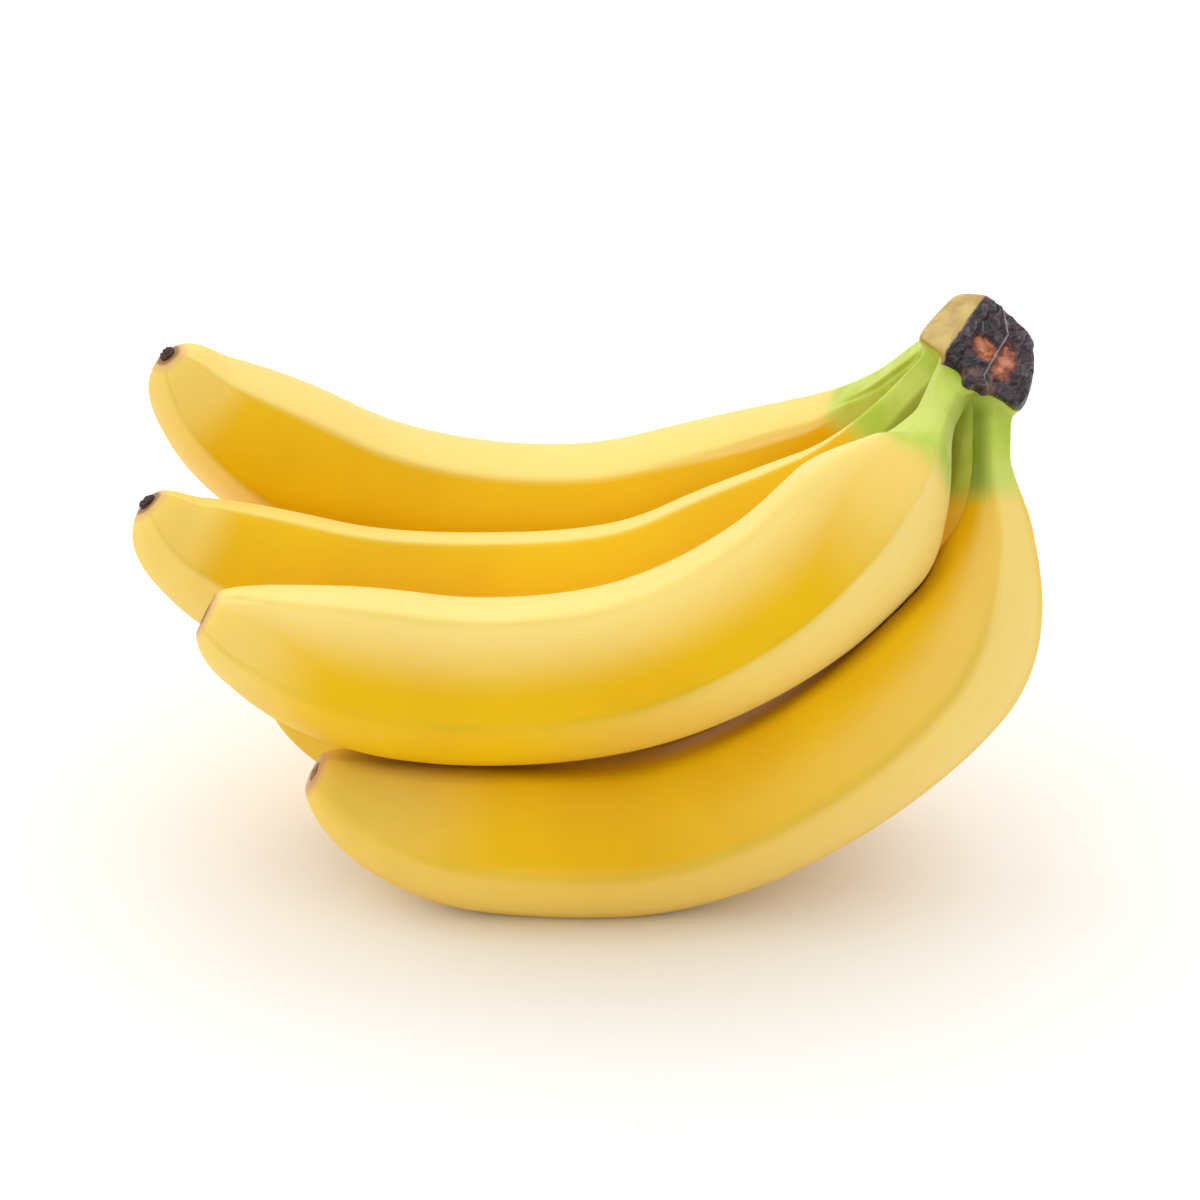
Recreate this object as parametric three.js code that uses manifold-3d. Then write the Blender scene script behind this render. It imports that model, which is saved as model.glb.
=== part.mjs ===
// A bunch of five bananas, lying on the bellies of its two lower fruits.
// Millimetres, +Z up. X runs along the bunch, from the blossom ends to the crown,
// Y runs from the front of the bunch to its back, and the surface is at z = 0.

import * as THREE from 'three';
import { mergeVertices } from 'three/addons/utils/BufferGeometryUtils.js';
import Module from 'manifold-3d';

const wasm = await Module();
wasm.setup();

// Each banana. path is its centreline, from inside the crown to the blossom end.
// girth is the half thickness at the ridges, neck the half thickness of the stalk.
// The stalk keeps its thickness up to neckEnd, and the fruit is full swell mm further on.
// Over its last tip mm it closes to an end of half thickness endRadius, and a larger
// tipPower makes that end more pointed. ridges are the five ridges in degrees round the
// centreline, with 0 on the outer curve and -90 at the front. scar is the length of the
// dried blossom end and scarRadius its half thickness. pressedBy names the banana that
// lies hard on this one and flattens it a little.
const BANANAS = [
  {
    name: 'upper_back',
    path: [[76.5, 6.5, 111], [65, 16.5, 96], [50.5, 29, 77.5], [15.5, 36.5, 57],
      [-13.5, 37.5, 54], [-45, 36.5, 60.5], [-69, 34.5, 74.2], [-82, 32.5, 86],
      [-89, 30.5, 97.5]],
    girth: 17.8, neck: 4.3, neckEnd: 18, swell: 72, tip: 45, tipPower: 0.75, endRadius: 2.6,
    ridges: [-147, -75, -5, 65, 140], scar: 2.2, scarRadius: 2.1,
  },
  {
    name: 'upper_middle',
    path: [[77.5, 0.5, 112.5], [67.5, 0.5, 100.5], [50.5, 0.5, 79], [16, 0.5, 57],
      [-25, 0.5, 52.5], [-57.5, 0.5, 56.2], [-84, 0.5, 68.2], [-91.5, 0.5, 77]],
    girth: 17.2, neck: 4.4, neckEnd: 14, swell: 60, tip: 42, tipPower: 0.7, endRadius: 3,
    ridges: [-166, -95, -25, 45, 120], scar: 3, scarRadius: 2.7,
  },
  {
    name: 'upper_front',
    path: [[78, -9.5, 113], [71.5, -19.5, 104.5], [64, -27.5, 96], [42.5, -34.5, 75],
      [12.5, -35.5, 58.4], [-21.5, -35.5, 53.8], [-51.5, -34.5, 58], [-68, -33.5, 63.6],
      [-77, -32.5, 68]],
    girth: 18.6, neck: 4.8, neckEnd: 11, swell: 30, tip: 45, tipPower: 0.72, endRadius: 4.6,
    ridges: [-158, -86, -12, 60, 130], scar: 1, scarRadius: 3.9,
  },
  {
    name: 'lower_front',
    path: [[85, -11.5, 110], [84.5, -18.5, 98.5], [85, -25.5, 83], [77, -32.5, 61],
      [51.5, -35.5, 35.5], [17, -35.5, 18.2], [-19, -35.5, 18.1], [-40, -35.5, 23.3],
      [-55.5, -35.5, 32]],
    girth: 18.3, neck: 4.2, neckEnd: 15, swell: 46, tip: 42, tipPower: 0.85, endRadius: 4.4,
    ridges: [-162, -90, -18, 54, 126], scar: 1, scarRadius: 3.7,
    pressedBy: 'upper_front',
  },
  {
    name: 'lower_back',
    path: [[81, -4.5, 109], [80.5, -3.5, 97], [78.5, 0.5, 77], [70.5, 3.5, 54],
      [52.5, 4.5, 33.5], [26, 4.5, 17.6], [-2.5, 4.5, 15.6], [-28.5, 4.5, 18.2],
      [-54.5, 4.5, 25.5], [-67, 4.5, 34.5]],
    girth: 17.4, neck: 4.2, neckEnd: 15, swell: 50, tip: 42, tipPower: 0.8, endRadius: 3,
    ridges: [-180, -108, -36, 36, 108], scar: 1.6, scarRadius: 2.5,
  },
];

const RIDGE_FLATNESS = 0.5;  // 0 gives a round section, 1 five flat faces
const SIDES_PER_FACE = 4;
const GAP = 0.3;             // between neighbouring pieces
const ROOT = 9;              // length of each stalk that belongs to the crown
const SWELL_POWER = 0.8;     // how early a stalk starts to widen into its fruit

// Rings of vertices along a banana: over the first neckReach mm, between, and over the last
// tipReach mm, where they crowd towards the end.
const RINGS = { neck: 12, neckReach: 55, body: 13, tip: 10, tipReach: 42, crowding: 1.5 };
const SURFACE = { size: 400, depth: 40 };
const SCAR_SIDES = 12;
const SCAR_PROFILE = [[0, 0], [1, 0], [0.95, 0.6], [0.6, 1], [0, 1]];

// The crown is the cushion that the stalks grow from. It stands on base with its axis along
// up, and squareness is how square its section is, from 2 for an oval. profile gives shares
// of its half width and of its height. Its underside is slanted, and three cuts trim its
// top: an old dry one on the left, the dark harvest cut on the right, and one at the back.
// A cut is a point on its plane and the way the plane faces.
const CROWN = {
  base: [80.2, -4.4, 104.3],
  up: [0.14, -0.2, 0.97],
  along: [0, 1, 0.2],
  halfLength: 15,
  halfWidth: 11.5,
  height: 23,
  squareness: 3,
  sides: 32,
  profile: [[0, 0], [0.75, 0.01], [0.86, 0.1], [0.97, 0.3], [1, 0.55], [0.94, 0.82], [0.8, 0.95],
    [0, 1]],
  underCut: { point: [79.4, -13.5, 113.5], facing: [-0.62, -0.368, -0.693] },
  dryCut: { point: [83.6, 1.9, 123.8], facing: [-0.304, -0.143, 0.942] },
  darkCut: { point: [85.7, 4.5, 124], facing: [0.3, -0.45, 0.84] },
  backCut: { point: [79.4, 6.4, 123.8], facing: [0.57, 0.82, 0.05] },
  blockSize: 60,
};

const PEEL = { color: 0xe9b80f, roughness: 0.42, metalness: 0 };
const GREEN_STALK = { color: 0xa9b53c, roughness: 0.55, metalness: 0 };
const DRIED = { color: 0x3a2a1c, roughness: 0.9, metalness: 0 };

const SIDES = 5 * SIDES_PER_FACE;

function radiusAt(banana, s, length) {
  const grown = THREE.MathUtils.smoothstep(s, banana.neckEnd, banana.neckEnd + banana.swell);
  const full = banana.neck + (banana.girth - banana.neck) * grown ** SWELL_POWER;
  const left = Math.min((length - s) / banana.tip, 1);
  const closed = Math.max(1 - (1 - left) ** 2, 0) ** banana.tipPower;
  return banana.endRadius + (full - banana.endRadius) * (s > length / 2 ? closed : 1);
}

// Angles of the section's corners: the ridges, with the faces between them divided evenly.
function sectionAngles(banana) {
  const ridges = banana.ridges.map(THREE.MathUtils.degToRad);
  const angles = [];
  ridges.forEach((ridge, i) => {
    const next = i < 4 ? ridges[i + 1] : ridges[0] + 2 * Math.PI;
    for (let k = 0; k < SIDES_PER_FACE; k += 1) {
      const half = (next - ridge) / 2;
      const angle = ridge + (2 * half * k) / SIDES_PER_FACE;
      const flat = Math.cos(half) / Math.cos(angle - ridge - half);
      angles.push({ angle, scale: 1 - RIDGE_FLATNESS * (1 - flat) });
    }
  });
  return angles;
}

// A closed solid with its vertices merged and without triangles that have no area.
function closedGeometry(geometry) {
  const source = geometry.index ? geometry : mergeVertices(geometry);
  source.deleteAttribute('normal');
  source.deleteAttribute('uv');
  const merged = mergeVertices(source, 1e-4);
  const index = merged.index.array;
  const kept = [];
  for (let i = 0; i < index.length; i += 3) {
    const [a, b, c] = [index[i], index[i + 1], index[i + 2]];
    if (a !== b && b !== c && c !== a) kept.push(a, b, c);
  }
  merged.setIndex(kept);
  return merged;
}

function toSolid(geometry) {
  return new wasm.Manifold(new wasm.Mesh({
    numProp: 3,
    vertProperties: new Float32Array(geometry.attributes.position.array),
    triVerts: new Uint32Array(geometry.index.array),
  }));
}

function toGeometry(solid) {
  const { vertProperties, triVerts } = solid.getMesh();
  const geometry = new THREE.BufferGeometry();
  geometry.setAttribute('position', new THREE.BufferAttribute(new Float32Array(vertProperties), 3));
  geometry.setIndex(Array.from(triVerts));
  return closedGeometry(geometry);
}

function centreline(banana) {
  const points = banana.path.map((p) => new THREE.Vector3(...p));
  return new THREE.CatmullRomCurve3(points, false, 'centripetal');
}

// Distances along the banana at which it has a ring of vertices, closer at its tip.
function stations(from, to) {
  const neckTo = from + RINGS.neckReach;
  const tipFrom = to - RINGS.tipReach;
  const result = [];
  for (let i = 0; i < RINGS.neck; i += 1) result.push(from + ((neckTo - from) * i) / RINGS.neck);
  for (let i = 0; i < RINGS.body; i += 1) result.push(neckTo + ((tipFrom - neckTo) * i) / RINGS.body);
  for (let i = 0; i <= RINGS.tip; i += 1) {
    const left = 1 - i / RINGS.tip;
    result.push(to - RINGS.tipReach * left ** RINGS.crowding);
  }
  return result;
}

// A straight lathed banana, bent along its centreline and pinched into its ridges.
function stretchOf(banana, distances, extra = 0) {
  const curve = centreline(banana);
  const length = curve.getLength();
  const first = distances[0];
  const last = distances[distances.length - 1];
  const profile = [new THREE.Vector2(0, first)];
  distances.forEach((s) => {
    profile.push(new THREE.Vector2(radiusAt(banana, s, length) + extra, s));
  });
  profile.push(new THREE.Vector2(0, last));
  const geometry = new THREE.LatheGeometry(profile, SIDES);
  const corners = sectionAngles(banana);
  const position = geometry.attributes.position;
  const across = new THREE.Vector3();
  const outward = new THREE.Vector3();
  for (let i = 0; i < position.count; i += 1) {
    const s = position.getY(i);
    const radius = Math.hypot(position.getX(i), position.getZ(i));
    const turn = Math.round((Math.atan2(-position.getX(i), position.getZ(i)) / (2 * Math.PI)) * SIDES);
    const corner = corners[(turn + SIDES) % SIDES];
    const share = THREE.MathUtils.clamp(s / length, 0, 1);
    const centre = curve.getPointAt(share);
    const tangent = curve.getTangentAt(share);
    across.set(0, 1, 0).addScaledVector(tangent, -tangent.y).normalize();
    outward.crossVectors(tangent, across);
    centre.addScaledVector(across, radius * corner.scale * Math.sin(corner.angle));
    centre.addScaledVector(outward, radius * corner.scale * Math.cos(corner.angle));
    position.setXYZ(i, centre.x, centre.y, centre.z);
  }
  return closedGeometry(geometry);
}

function fruitSolid(banana, extra = 0) {
  const length = centreline(banana).getLength();
  return toSolid(stretchOf(banana, stations(ROOT, length), extra));
}

// A banana, flattened where it lies on the surface and where a neighbour presses on it.
function fruitGeometry(banana) {
  const under = new THREE.BoxGeometry(SURFACE.size, SURFACE.size, SURFACE.depth);
  under.translate(0, 0, -SURFACE.depth / 2);
  let solid = fruitSolid(banana).subtract(toSolid(closedGeometry(under)));
  const neighbour = BANANAS.find(({ name }) => name === banana.pressedBy);
  if (neighbour) solid = solid.subtract(fruitSolid(neighbour, GAP));
  return toGeometry(solid);
}

function scarGeometry(banana) {
  const curve = centreline(banana);
  const profile = SCAR_PROFILE.map(([radius, height]) => (
    new THREE.Vector2(radius * banana.scarRadius, height * banana.scar)));
  const geometry = new THREE.LatheGeometry(profile, SCAR_SIDES);
  const tangent = curve.getTangentAt(1);
  const turn = new THREE.Quaternion().setFromUnitVectors(new THREE.Vector3(0, 1, 0), tangent);
  geometry.applyQuaternion(turn);
  const place = curve.getPointAt(1).addScaledVector(tangent, GAP);
  geometry.translate(place.x, place.y, place.z);
  return closedGeometry(geometry);
}

function crownCushion() {
  const profile = CROWN.profile.map((corner) => new THREE.Vector2(...corner));
  const geometry = new THREE.LatheGeometry(profile, CROWN.sides);
  const position = geometry.attributes.position;
  const power = CROWN.squareness;
  for (let i = 0; i < position.count; i += 1) {
    const [x, y, z] = [position.getX(i), position.getY(i), position.getZ(i)];
    const around = Math.hypot(x, z) || 1;
    const square = (Math.abs(x / around) ** power + Math.abs(z / around) ** power) ** (1 / power) || 1;
    position.setXYZ(i, x / square, y, z / square);
  }
  const up = new THREE.Vector3(...CROWN.up).normalize();
  const across = new THREE.Vector3(...CROWN.along).cross(up).normalize();
  const along = new THREE.Vector3().crossVectors(up, across);
  geometry.applyMatrix4(new THREE.Matrix4().makeBasis(
    across.multiplyScalar(CROWN.halfWidth),
    up.multiplyScalar(CROWN.height),
    along.multiplyScalar(-CROWN.halfLength),
  ));
  geometry.translate(...CROWN.base);
  return closedGeometry(geometry);
}

// What a knife takes off: a block whose lower face lies on the cut's plane.
function cutAway({ point, facing }) {
  const size = CROWN.blockSize;
  const block = new THREE.BoxGeometry(size, size, size);
  block.translate(0, 0, size / 2);
  const normal = new THREE.Vector3(...facing).normalize();
  block.applyQuaternion(new THREE.Quaternion().setFromUnitVectors(new THREE.Vector3(0, 0, 1), normal));
  block.translate(...point);
  return toSolid(closedGeometry(block));
}

function crownGeometry() {
  let solid = toSolid(crownCushion()).subtract(cutAway(CROWN.underCut));
  BANANAS.forEach((banana) => {
    solid = solid.add(toSolid(stretchOf(banana, [0, ROOT / 2, ROOT - GAP])));
  });
  [CROWN.dryCut, CROWN.darkCut, CROWN.backCut].forEach((cut) => {
    solid = solid.subtract(cutAway(cut));
  });
  return toGeometry(solid);
}

function part(name, geometry, finish) {
  const mesh = new THREE.Mesh(geometry, new THREE.MeshStandardMaterial(finish));
  mesh.name = name;
  return mesh;
}

const bunch = new THREE.Group();
bunch.add(part('crown', crownGeometry(), GREEN_STALK));
BANANAS.forEach((banana) => {
  bunch.add(part(`banana_${banana.name}`, fruitGeometry(banana), PEEL));
  bunch.add(part(`blossom_end_${banana.name}`, scarGeometry(banana), DRIED));
});

export default bunch;
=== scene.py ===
import math

import bpy
import numpy as np
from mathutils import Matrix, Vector, noise


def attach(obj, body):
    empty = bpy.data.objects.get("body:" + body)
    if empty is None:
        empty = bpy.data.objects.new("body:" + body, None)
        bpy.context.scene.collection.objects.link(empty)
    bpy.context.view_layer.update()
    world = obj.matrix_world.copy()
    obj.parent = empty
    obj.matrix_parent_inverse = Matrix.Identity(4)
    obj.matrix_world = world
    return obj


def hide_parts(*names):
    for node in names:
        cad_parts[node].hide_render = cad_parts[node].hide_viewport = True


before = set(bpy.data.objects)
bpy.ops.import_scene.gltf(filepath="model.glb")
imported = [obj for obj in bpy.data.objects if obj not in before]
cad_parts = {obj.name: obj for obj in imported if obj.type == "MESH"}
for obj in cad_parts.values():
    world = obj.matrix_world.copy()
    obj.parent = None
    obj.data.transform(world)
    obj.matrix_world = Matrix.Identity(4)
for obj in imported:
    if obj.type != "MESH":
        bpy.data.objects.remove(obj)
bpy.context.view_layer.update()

# Lengths in the tables are in millimetres, as in the part's source, and angles in degrees.
MM = 0.001

# How each banana grew. Distances run along its middle line from the crown or, where it says so, back
# from the tip, and angles go round its section.
# path: the middle line. girth, neck, end_radius: the radius of the body, of the stalk and at the tip.
# neck_end, swell: where the stalk starts to widen, and over what distance.
# tip, tip_power: how long the tapering end is, and how blunt.
# shoulder: how far the skin stands out just before the tip.
# ridges, rounding: the angles of the five crests, and how soft they are.
# nub, scar_radius: height and radius of the dried flower end. end_brown: how brown the skin's end is.
# bloom, bloom_at_stalk: a paler stretch at the tip or stalk, full up to the first distance from that
# end and gone at the second, and how pale it is.
# olive: how olive the skin is towards the tip. green: how far along the stalk is green.
# shade, inner_shade: how dark the painted shade makes the green close to other stalks, partly their
# own deeper green, and on the side facing the tips.
# pale: the paler faces, mostly painted light where the light from above and from the floor
# falls, each with two angles, how softly each side ends, how pale it is near the stalk and near
# the tip, and how much wider it is near the stalk.
# pinch: one side of a stalk made narrower, with its angle, half width, where it ends and by what share.
# crease: a groove along a stalk, as distances and the angle at each.
# dimple: a dent, with its distance back from the tip, angle, half length, half width and depth.
# pressed_by: the banana that lies on this one, presses it in and has its shadow painted on it.
# seed: picks this peel's own noise.
BANANAS = [
    {
        "name": "upper_back",
        "path": [[76.5, 6.5, 111], [65, 16.5, 96], [50.5, 29, 77.5], [15.5, 36.5, 57], [-13.5, 37.5, 54],
                 [-45, 36.5, 60.5], [-69, 34.5, 74.2], [-82, 32.5, 86], [-89, 30.5, 97.5]],
        "girth": 17.8, "neck": 4.3, "neck_end": 18, "swell": 72,
        "tip": 45, "tip_power": 0.75, "end_radius": 2.6, "shoulder": 1.0,
        "ridges": [-147, -75, -5, 65, 140], "rounding": 2.5,
        "nub": 0.8, "scar_radius": 1.8, "end_brown": 0.8,
        "bloom": (8, 20, 0.62), "olive": 0.05, "shade": 0.35, "green": 34.5, "seed": 3.0,
        "crease": ([6, 21, 27, 33], [-138, -138, -150, -158]),
        "pale": [(-225, -147, 12, 4, 0.85, 0.85, 12), (-75, -5, 6, 10, 0.2, 0.5, 0)],
    },
    {
        "name": "upper_middle",
        "path": [[77.5, 0.5, 112.5], [67.5, 0.5, 100.5], [50.5, 0.5, 79], [16, 0.5, 57], [-25, 0.5, 52.5],
                 [-57.5, 0.5, 56.2], [-84, 0.5, 68.2], [-91.5, 0.5, 77]],
        "girth": 17.2, "neck": 4.4, "neck_end": 14, "swell": 60,
        "tip": 42, "tip_power": 0.7, "end_radius": 3, "shoulder": 0.5,
        "ridges": [-166, -95, -25, 45, 120], "rounding": 2.5,
        "nub": 0.8, "scar_radius": 2.0, "end_brown": 0.8,
        "bloom": (9, 21, 0.6), "olive": 0.15, "shade": 0.2, "green": 26, "seed": 11.0,
        "pale": [(-240, -168, 12, 4, 0.9, 0.8, 0), (-95, -25, 6, 10, 0.1, 0.7, 0)],
    },
    {
        "name": "upper_front",
        "path": [[78, -9.5, 113], [71.5, -19.5, 104.5], [64, -27.5, 96], [42.5, -34.5, 75],
                 [12.5, -35.5, 58.4], [-21.5, -35.5, 53.8], [-51.5, -34.5, 58], [-68, -33.5, 63.6],
                 [-77, -32.5, 68]],
        "girth": 18.6, "neck": 4.8, "neck_end": 11, "swell": 30,
        "tip": 45, "tip_power": 0.72, "end_radius": 4.6, "shoulder": 0.4,
        "ridges": [-158, -86, -12, 60, 130], "rounding": 5,
        "nub": 0.1, "scar_radius": 2.8, "end_brown": 0.5,
        "bloom": (8, 30, 0.65), "bloom_at_stalk": (27, 55, 0.7), "olive": 0.1, "shade": 0.5,
        "green": 23, "seed": 23.0,
        "pinch": (-165, 80, 21.5, 0.4),
        "dimple": (4.8, -160, 2.6, 0.8, 0.9),
        "pale": [(-235, -143, 12, 40, 0.95, 1, 0), (-86, -12, 3, 30, 1, 0, 0)],
    },
    {
        "name": "lower_front",
        "path": [[85, -11.5, 110], [84.5, -18.5, 98.5], [85, -25.5, 83], [77, -32.5, 61],
                 [51.5, -35.5, 35.5], [17, -35.5, 18.2], [-19, -35.5, 18.1], [-40, -35.5, 23.3],
                 [-55.5, -35.5, 32]],
        "girth": 18.3, "neck": 4.2, "neck_end": 15, "swell": 46,
        "tip": 42, "tip_power": 0.85, "end_radius": 4.4, "shoulder": 0.4,
        "ridges": [-162, -90, -18, 54, 126], "rounding": 3.5,
        "nub": 0.1, "scar_radius": 2.3, "end_brown": 0.3,
        "bloom": (14, 44, 0.4), "olive": 0.3, "shade": 0.5, "inner_shade": 0.62,
        "green": 22, "seed": 37.0,
        "pressed_by": "upper_front",
        "pale": [(-90, -30, 24, 25, 0.9, 0.45, 0), (-125, -30, 34, 25, 0.48, 0, 0)],
    },
    {
        "name": "lower_back",
        "path": [[81, -4.5, 109], [80.5, -3.5, 97], [78.5, 0.5, 77], [70.5, 3.5, 54], [52.5, 4.5, 33.5],
                 [26, 4.5, 17.6], [-2.5, 4.5, 15.6], [-28.5, 4.5, 18.2], [-54.5, 4.5, 25.5],
                 [-67, 4.5, 34.5]],
        "girth": 17.4, "neck": 4.2, "neck_end": 15, "swell": 50,
        "tip": 42, "tip_power": 0.8, "end_radius": 3, "shoulder": 0.8,
        "ridges": [-180, -108, -36, 36, 108], "rounding": 3.5,
        "nub": 0.8, "scar_radius": 2.2, "end_brown": 0.8,
        "bloom": (10, 25, 0.1), "olive": 0.5, "shade": 0.5, "inner_shade": 0.7,
        "green": 26, "seed": 51.0,
        "pale": [(-108, -36, 4, 20, 0.2, 0.2, 0)],
    },
]

# The shapes of all bananas. The flatness of the faces between the ridges, from 0, round, to 1, flat,
# changes from the stalk's to the body's between the distances BODY_STARTS.
RIDGE_FLATNESS = 0.5
NECK_FLATNESS = 0.9
NECK_ROUNDING = 4
BODY_STARTS = (20, 50)
# How fast the shoulder before the tip rises, and where it ends, back from the tip.
SHOULDER_RISE = 0.9
SHOULDER_ENDS = (3, 14)
# Where a pinch starts, and how softly it ends.
PINCH_STARTS = (4, 11)
PINCH_SOFT = 3.5
CREASE_DEPTH = 0.75
CREASE_HALF_WIDTH = 0.45

# The cushion that joins the stalks. profile is its width at shares of its height, and side_scale
# turns a share of its width into millimetres. The soft values are how softly its ends, its two
# slanted flats and its sides run into each other.
CROWN = {
    "base": [80.2, -4.4, 104.3], "up": [0.14, -0.2, 0.97], "along": [0, 1, 0.2],
    "half_length": 15.8, "half_width": 11.9, "height": 23, "squareness": 3,
    "profile": [(0, 0.75), (0.1, 0.86), (0.3, 0.97), (0.55, 1), (0.82, 0.94), (0.95, 0.8), (1, 0.6)],
    "side_scale": 12, "soft_ends": 2, "soft_flats": 1, "soft_sides": 1.5,
}
# The slanted flats below it and at its left, and the three cuts on top: each a point and a direction.
UNDER_FLAT = ([79.4, -13.5, 113.5], [-0.62, -0.368, -0.693])
LEFT_FLAT = ([74.8, 2, 120.9], [-0.735, 0.319, 0.6])
DRY_CUT = ([83.6, 1.9, 123.8], [-0.304, -0.143, 0.942])
BACK_CUT = ([79.8, 6.9, 123.8], [0.57, 0.82, 0.05])
DARK_CUT = ([85.8, 4.35, 124.2], [0.3, -0.45, 0.84])
# The cuts with how round their edges are. Beyond CUT_REACH from CUT_CENTRE they rise clear of the
# bananas by CUT_RISE for each millimetre.
CUTS = ((DRY_CUT, 1.2), (BACK_CUT, 2.0), (DARK_CUT, 1.0))
CUT_CENTRE = np.array([82.5, -7.6, 120])
CUT_REACH = 20
CUT_RISE = 0.8

# What the dark cut shows, in millimetres right and up from DARK_MIDDLE on its plane: the two cores,
# each with its middle, half sizes and turn in degrees, and the pale seam between them.
DARK_MIDDLE = np.array([84.65, -9.79, 116.72])
CORES = [((-1.2, 1.5), (4.0, 4.4), 20), ((1.4, -3.0), (7.8, 3.2), 41)]
SEAM = [(8.6, 9.5), (8.1, 7.4), (6.6, 4.6), (5.9, 2.7), (2.4, 0.4), (-2.2, -2.7), (-5.0, -4.6),
        (-6.2, -8.0)]
SEAM_HALF_WIDTH = 0.27
# The direction that the folds run in, right and up on the cut.
FOLDS_RIGHT, FOLDS_UP = 0.85, 0.53
# Heights on the dark cut: of folds and streaks for one standard deviation, how deep the cores lie,
# how far the seam stands out, and how far all of it lies below the plane.
FOLD_HEIGHT = 0.2
STREAK_HEIGHT = 0.07
CORE_DEPTH = 0.6
SEAM_HEIGHT = 0.25
CUT_SINKS = 0.2
# The crown is withered down to these depths below the cuts, DARK_DEEPER further below the dark one,
# with an edge that wanders by about RAGGED.
WITHERED_ENDS = (2.0, 2.8)
DARK_DEEPER = 1.2
RAGGED = 0.7
# A dried flap that hangs from the edge of the dark cut, and the hollow in it.
FLAP = ([80.9, -17.4, 112.6], 2.9)
FLAP_HOLLOW = ([81.9, -20.2, 113.2], 1.6)

# How crown and stalks are joined: the size of the soft valleys between them, and between which
# distances from the crown's base these fade out.
JOIN = 0.8
JOIN_FADES = (14, 36)
# Each peel starts at PEEL_START, under the crown's piece: before ROOT it sinks by ROOT_SINKS for each
# millimetre. From ROOT on the crown's piece tapers off along the stalk, by CROWN_TAPER for each.
PEEL_START = 0.5
ROOT = 2.5
CROWN_TAPER = 0.35
ROOT_SINKS = 0.3
# How deep the peels lie under the dark cut, and over which depths below its plane that ends.
COVER_DEPTH = 1.3
COVER_ENDS = (1.2, 2.8)
# How far in and out a peel may be moved to meet its neighbours, and where along it that fades out.
PUSH_LIMITS = (-4, 2.6)
PUSH_FADES = (27, 38)
# The space left between a banana and the one that presses it. The pressed peel gets a painted
# shadow, darker up to CONTACT_ENDS from the other, starting along it between the distances
# CONTACT_STARTS.
GAP = 0.3
CONTACT_ENDS = 5
CONTACT_STARTS = (25, 50)
# Painted shade, partly the stalks' own deeper green: stalks are darkest where others are as near as
# TIGHT, and a little darker where they are as near as WIDE. Both start between the distances
# SHADE_STARTS, and the inner side's between INNER_STARTS.
TIGHT = (0.2, 2.0)
WIDE = (0.3, 7)
SHADE_STARTS = (8, 14)
INNER_STARTS = (2, 7)
# The faces' paleness, mostly painted light, turns from the stalk's into the tip's between these
# distances from either end, and what makes them wider near the stalk fades out between WIDER_ENDS.
STALK_SIDE = 40
TIP_SIDE = 60
WIDER_ENDS = (40, 90)

# How far apart the places are that a distance to a banana is measured from.
STATION_STEP = 2.5
FINE_STEP = 0.5
# How many points the meshes have, along and around.
ALONG, AROUND = 360, 144
CROWN_RINGS, CROWN_SIDES = 250, 360
TIP_RINGS, TIP_SIDES = 24, 72

# The surround's light, each as two limits of a direction's coordinate and the strengths at them. The
# last two say over which heights the light from behind and from the left comes up.
OVERHEAD = (0.0, 0.8, 0.45, 1.0)
BEHIND = (-0.1, 0.6, 0.0, 0.62)
LEFT = (-0.9, -0.2, 0.4, 0.0)
BEHIND_RISES = (0.08, 0.3, 0, 1)
LEFT_RISES = (0.0, 0.25, 0, 1)

# The photo's camera, with its focal length in pixels of the photo. Distance and target are in metres.
PHOTO_PIXELS = 1200
FOCAL_PIXELS = 4230
SENSOR_WIDTH = 36
ELEVATION = math.radians(28)
CAMERA_DISTANCE = 0.9
CAMERA_TARGET = Vector((0.0042, -0.0055, 0.0568))
FLOOR_HALF = 3.0


def unit(v):
    v = np.array(v, float)
    return v / np.linalg.norm(v)


def smoothstep(x, low, high):
    t = np.clip((x - low) / (high - low), 0, 1)
    return t * t * (3 - 2 * t)


def turned_by(angle, start):
    """The turn in degrees from start, in degrees, to an angle in radians: -180 to 180."""
    return np.mod(np.degrees(angle) - start + 180, 360) - 180


def spline(points, steps=80):
    """A centripetal curve through the points, as close points and the distance along it to each."""
    p = np.array(points, float)
    p = np.vstack([2 * p[0] - p[1], p, 2 * p[-1] - p[-2]])
    t = np.linspace(0, 1, steps, endpoint=False)[:, None]
    pieces = []
    for i in range(1, len(p) - 2):
        a, b, c, d = p[i - 1:i + 3]
        u, v, w = (np.linalg.norm(y - x) ** 0.5 for x, y in ((a, b), (b, c), (c, d)))
        start = ((b - a) / u - (c - a) / (u + v) + (c - b) / v) * v
        end = ((c - b) / v - (d - b) / (v + w) + (d - c) / w) * v
        pieces.append(b + start * t + (-3 * b + 3 * c - 2 * start - end) * t ** 2
                      + (2 * b - 2 * c + start + end) * t ** 3)
    pieces.append(p[-2][None])
    places = np.vstack(pieces)
    steps_long = np.linalg.norm(np.diff(places, axis=0), axis=1)
    return places, np.concatenate([[0], np.cumsum(steps_long)])


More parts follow.
